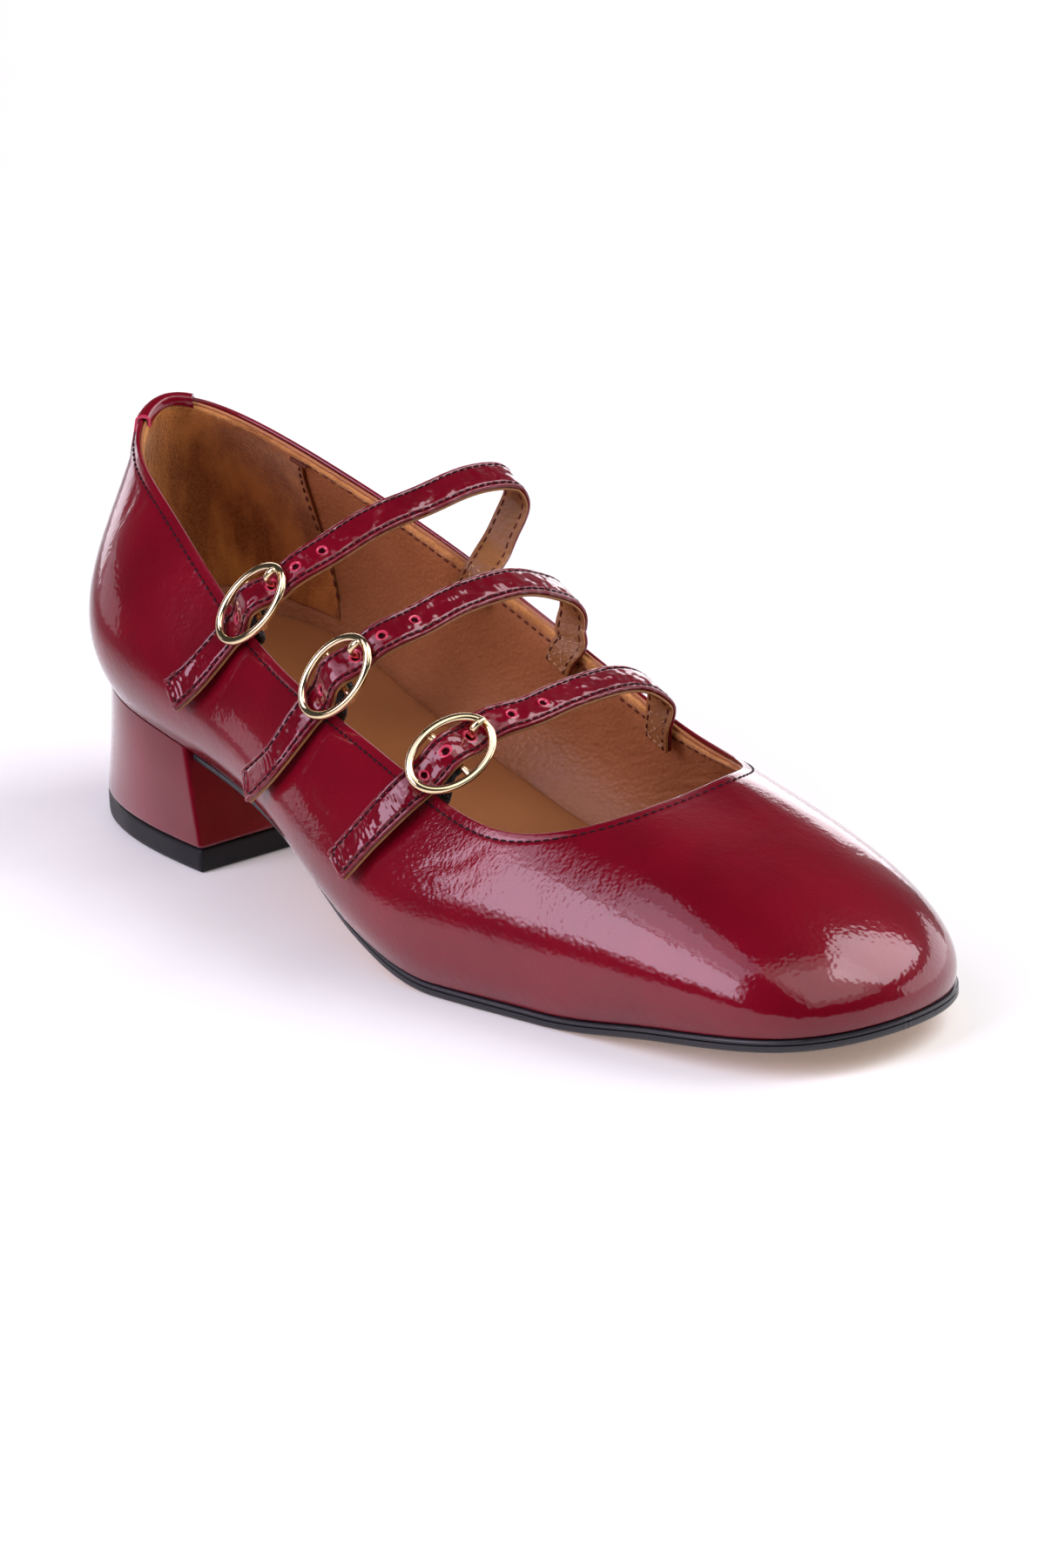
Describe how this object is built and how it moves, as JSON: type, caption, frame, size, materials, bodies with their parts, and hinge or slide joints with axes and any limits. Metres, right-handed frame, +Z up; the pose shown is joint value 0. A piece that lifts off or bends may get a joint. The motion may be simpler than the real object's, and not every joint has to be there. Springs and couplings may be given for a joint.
{
  "type": "mary jane shoe",
  "caption": "Low-heeled shoe with an open instep, buckled straps over it, a soft-square toe and a flared block heel.",
  "frame": {"origin": "centre of the bounding box at the floor, with the shoe standing unbent on its heel and its tread", "axes": "+X towards the toe, +Y towards the inner side of the foot, -Y the outer side with the buckles, +Z up"},
  "size_m": [0.244, 0.0902, 0.0878],
  "materials": {
    "patent_leather": "burgundy patent, crinkled and glossy",
    "lining_leather": "smooth tan lining leather",
    "sole_leather": "tan underneath, black edge",
    "black_rubber": "black, satin",
    "gold_metal": "polished pale gold plating",
    "black_elastic": "woven black elastic"
  },
  "bodies": {
    "root": {"upper": "patent_leather", "insole": "lining_leather", "outsole": "sole_leather", "heel_block": "patent_leather", "top_piece": "black_rubber", "heel_tab": "patent_leather", "strap_1": "patent_leather", "strap_2": "patent_leather", "strap_3": "patent_leather", "buckle_1": "gold_metal", "buckle_2": "gold_metal", "buckle_3": "gold_metal", "prong_1": "gold_metal", "prong_2": "gold_metal", "prong_3": "gold_metal", "elastic_1": "black_elastic", "elastic_2": "black_elastic", "elastic_3": "black_elastic"}
  },
  "joints": []
}
